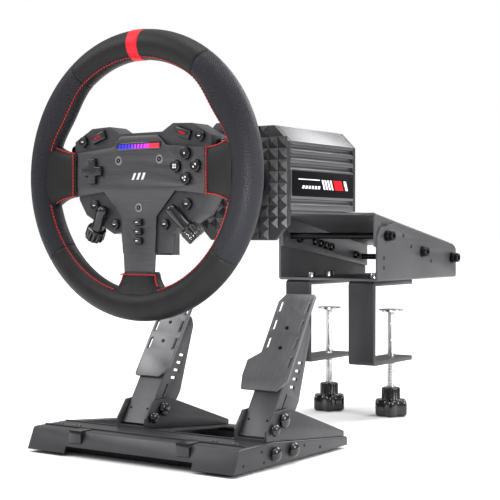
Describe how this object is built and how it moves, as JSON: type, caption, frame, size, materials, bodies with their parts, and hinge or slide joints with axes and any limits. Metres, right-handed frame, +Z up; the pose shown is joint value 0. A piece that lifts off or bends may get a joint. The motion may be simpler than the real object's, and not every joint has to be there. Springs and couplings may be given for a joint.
{
  "type": "racing wheel",
  "caption": "Sim-racing wheel on a direct-drive base with a tilting two-clamp desk bracket, and a separate floor unit with hinged pedals.",
  "frame": {"origin": "middle of the footprint's bounding box, on the floor that the pedal unit and the clamp knobs stand on", "axes": "+X to the driver's right, +Y away from the driver along the steering axis, +Z up"},
  "size_m": [0.2997, 0.6122, 0.4466],
  "materials": {
    "leather": "black leather, perforated on the side grips",
    "plate": "brushed, dark grey anodised",
    "plastic": "fine matt black",
    "button": "satin black",
    "board": "green solder mask",
    "display": "smoked clear lens or gloss label panel",
    "housing": "extruded, dark grey anodised",
    "bezel": "black, pyramid facets",
    "sheet_steel": "fine-texture black powder coat",
    "black_bolt": "black oxide socket head",
    "bright_steel": "bright plated or machined steel",
    "copper": "enamelled copper windings on laminations",
    "rubber": "black rubber"
  },
  "bodies": {
    "stand": {"motor_housing": "housing", "front_bezel": "bezel", "rear_cover": "bezel", "side_panel": "display", "motor_stator": "copper", "upper_channel": "sheet_steel", "lower_channel": "sheet_steel", "lock_bolt": "black_bolt", "pivot_bolt": "black_bolt", "clamp_frame_left": "sheet_steel", "clamp_frame_right": "sheet_steel", "pedal_tray": "sheet_steel", "front_foot_strip": "rubber", "rear_foot_strip": "rubber", "pedal_bracket_brake": "sheet_steel", "pedal_pin_brake": "bright_steel", "return_spring_brake": "bright_steel", "pedal_bracket_throttle": "sheet_steel", "pedal_pin_throttle": "bright_steel", "return_spring_throttle": "bright_steel"},
    "wheel": {"rim_grip_top": "leather", "rim_grip_right": "leather", "rim_grip_bottom": "leather", "rim_grip_left": "leather", "rim_core": "bright_steel", "hub_plate": "plate", "switch_housing": "plastic", "housing_cover": "plastic", "switch_board": "board", "led_display": "display", "quick_release": "bright_steel", "motor_rotor": "bright_steel"},
    "shift_paddle_left": {"shift_paddle_left": "plate"},
    "shift_paddle_right": {"shift_paddle_right": "plate"},
    "button_face_top": {"button_face_top": "button"},
    "button_face_left": {"button_face_left": "button"},
    "button_face_right": {"button_face_right": "button"},
    "button_face_bottom": {"button_face_bottom": "button"},
    "button_upper_left_round": {"button_upper_left_round": "button"},
    "button_upper_right_round": {"button_upper_right_round": "button"},
    "button_lower_left_outer": {"button_lower_left_outer": "button"},
    "button_lower_left_inner": {"button_lower_left_inner": "button"},
    "button_lower_right_outer": {"button_lower_right_outer": "button"},
    "button_lower_right_inner": {"button_lower_right_inner": "button"},
    "button_centre_top": {"button_centre_top": "button"},
    "button_centre_middle": {"button_centre_middle": "button"},
    "button_centre_bottom": {"button_centre_bottom": "button"},
    "button_upper_left_wide": {"button_upper_left_wide": "button"},
    "button_upper_right_wide": {"button_upper_right_wide": "button"},
    "d_pad": {"d_pad": "button"},
    "encoder_knob_left": {"encoder_knob_left": "button"},
    "encoder_knob_right": {"encoder_knob_right": "button"},
    "clamp_pad_left": {"clamp_pad_left": "bright_steel"},
    "clamp_screw_left": {"clamp_screw_left": "bright_steel"},
    "clamp_pad_right": {"clamp_pad_right": "bright_steel"},
    "clamp_screw_right": {"clamp_screw_right": "bright_steel"},
    "pedal_brake": {"pedal_arm_brake": "sheet_steel", "pedal_tread_brake": "sheet_steel"},
    "pedal_throttle": {"pedal_arm_throttle": "sheet_steel", "pedal_tread_throttle": "sheet_steel"}
  },
  "joints": [
    {"name": "steering", "type": "hinge", "parent": "stand", "child": "wheel", "pos_m": [0, -0.29094, 0.297], "axis": [0, 1, 0], "continuous": true},
    {"name": "shift_left", "type": "hinge", "parent": "wheel", "child": "shift_paddle_left", "pos_m": [-0.0285, -0.25344, 0.297], "axis": [0, 0, 1], "range_deg": [0, 4], "stiffness_Nm_per_rad": 1.5},
    {"name": "shift_right", "type": "hinge", "parent": "wheel", "child": "shift_paddle_right", "pos_m": [0.0285, -0.25344, 0.297], "axis": [0, 0, -1], "range_deg": [0, 4], "stiffness_Nm_per_rad": 1.5},
    {"name": "press_face_top", "type": "slide", "parent": "wheel", "child": "button_face_top", "axis": [0, 1, 0], "range_m": [0, 0.0012], "stiffness_N_per_m": 400},
    {"name": "press_face_left", "type": "slide", "parent": "wheel", "child": "button_face_left", "axis": [0, 1, 0], "range_m": [0, 0.0012], "stiffness_N_per_m": 400},
    {"name": "press_face_right", "type": "slide", "parent": "wheel", "child": "button_face_right", "axis": [0, 1, 0], "range_m": [0, 0.0012], "stiffness_N_per_m": 400},
    {"name": "press_face_bottom", "type": "slide", "parent": "wheel", "child": "button_face_bottom", "axis": [0, 1, 0], "range_m": [0, 0.0012], "stiffness_N_per_m": 400},
    {"name": "press_upper_left_round", "type": "slide", "parent": "wheel", "child": "button_upper_left_round", "axis": [0, 1, 0], "range_m": [0, 0.0012], "stiffness_N_per_m": 400},
    {"name": "press_upper_right_round", "type": "slide", "parent": "wheel", "child": "button_upper_right_round", "axis": [0, 1, 0], "range_m": [0, 0.0012], "stiffness_N_per_m": 400},
    {"name": "press_lower_left_outer", "type": "slide", "parent": "wheel", "child": "button_lower_left_outer", "axis": [0, 1, 0], "range_m": [0, 0.0012], "stiffness_N_per_m": 400},
    {"name": "press_lower_left_inner", "type": "slide", "parent": "wheel", "child": "button_lower_left_inner", "axis": [0, 1, 0], "range_m": [0, 0.0012], "stiffness_N_per_m": 400},
    {"name": "press_lower_right_outer", "type": "slide", "parent": "wheel", "child": "button_lower_right_outer", "axis": [0, 1, 0], "range_m": [0, 0.0012], "stiffness_N_per_m": 400},
    {"name": "press_lower_right_inner", "type": "slide", "parent": "wheel", "child": "button_lower_right_inner", "axis": [0, 1, 0], "range_m": [0, 0.0012], "stiffness_N_per_m": 400},
    {"name": "press_centre_top", "type": "slide", "parent": "wheel", "child": "button_centre_top", "axis": [0, 1, 0], "range_m": [0, 0.0012], "stiffness_N_per_m": 400},
    {"name": "press_centre_middle", "type": "slide", "parent": "wheel", "child": "button_centre_middle", "axis": [0, 1, 0], "range_m": [0, 0.0012], "stiffness_N_per_m": 400},
    {"name": "press_centre_bottom", "type": "slide", "parent": "wheel", "child": "button_centre_bottom", "axis": [0, 1, 0], "range_m": [0, 0.0012], "stiffness_N_per_m": 400},
    {"name": "press_upper_left_wide", "type": "slide", "parent": "wheel", "child": "button_upper_left_wide", "axis": [0, 1, 0], "range_m": [0, 0.0012], "stiffness_N_per_m": 400},
    {"name": "press_upper_right_wide", "type": "slide", "parent": "wheel", "child": "button_upper_right_wide", "axis": [0, 1, 0], "range_m": [0, 0.0012], "stiffness_N_per_m": 400},
    {"name": "d_pad_rock", "type": "hinge", "parent": "wheel", "child": "d_pad", "pos_m": [-0.062, -0.28994, 0.303], "axis": [1, 0, 0], "range_deg": [-2.5, 2.5], "stiffness_Nm_per_rad": 0.3},
    {"name": "encoder_turn_left", "type": "hinge", "parent": "wheel", "child": "encoder_knob_left", "pos_m": [-0.06021, -0.28963, 0.24332], "axis": [-0.6014, 0.3208, -0.7317], "continuous": true},
    {"name": "encoder_turn_right", "type": "hinge", "parent": "wheel", "child": "encoder_knob_right", "pos_m": [0.06021, -0.28963, 0.24332], "axis": [0.6014, 0.3208, -0.7317], "continuous": true},
    {"name": "clamp_feed_left", "type": "slide", "parent": "stand", "child": "clamp_pad_left", "axis": [0, 0, 1], "range_m": [-0.04, 0.03]},
    {"name": "clamp_turn_left", "type": "hinge", "parent": "clamp_pad_left", "child": "clamp_screw_left", "pos_m": [-0.047, 0.16506, 0.05], "axis": [0, 0, 1], "range_deg": [-7200, 5400]},
    {"name": "clamp_feed_right", "type": "slide", "parent": "stand", "child": "clamp_pad_right", "axis": [0, 0, 1], "range_m": [-0.04, 0.03]},
    {"name": "clamp_turn_right", "type": "hinge", "parent": "clamp_pad_right", "child": "clamp_screw_right", "pos_m": [0.047, 0.16506, 0.05], "axis": [0, 0, 1], "range_deg": [-7200, 5400]},
    {"name": "press_pedal_brake", "type": "hinge", "parent": "stand", "child": "pedal_brake", "pos_m": [-0.0515, -0.21494, 0.046], "axis": [-1, 0, 0], "range_deg": [0, 16], "stiffness_Nm_per_rad": 11, "springref_deg": -11.46},
    {"name": "press_pedal_throttle", "type": "hinge", "parent": "stand", "child": "pedal_throttle", "pos_m": [0.105, -0.21494, 0.046], "axis": [-1, 0, 0], "range_deg": [0, 16], "stiffness_Nm_per_rad": 11, "springref_deg": -11.46}
  ],
  "couplings": [
    {"joint": "clamp_feed_left", "follows": "clamp_turn_left", "m_per_rad": 0.00031831},
    {"joint": "clamp_feed_right", "follows": "clamp_turn_right", "m_per_rad": 0.00031831}
  ]
}
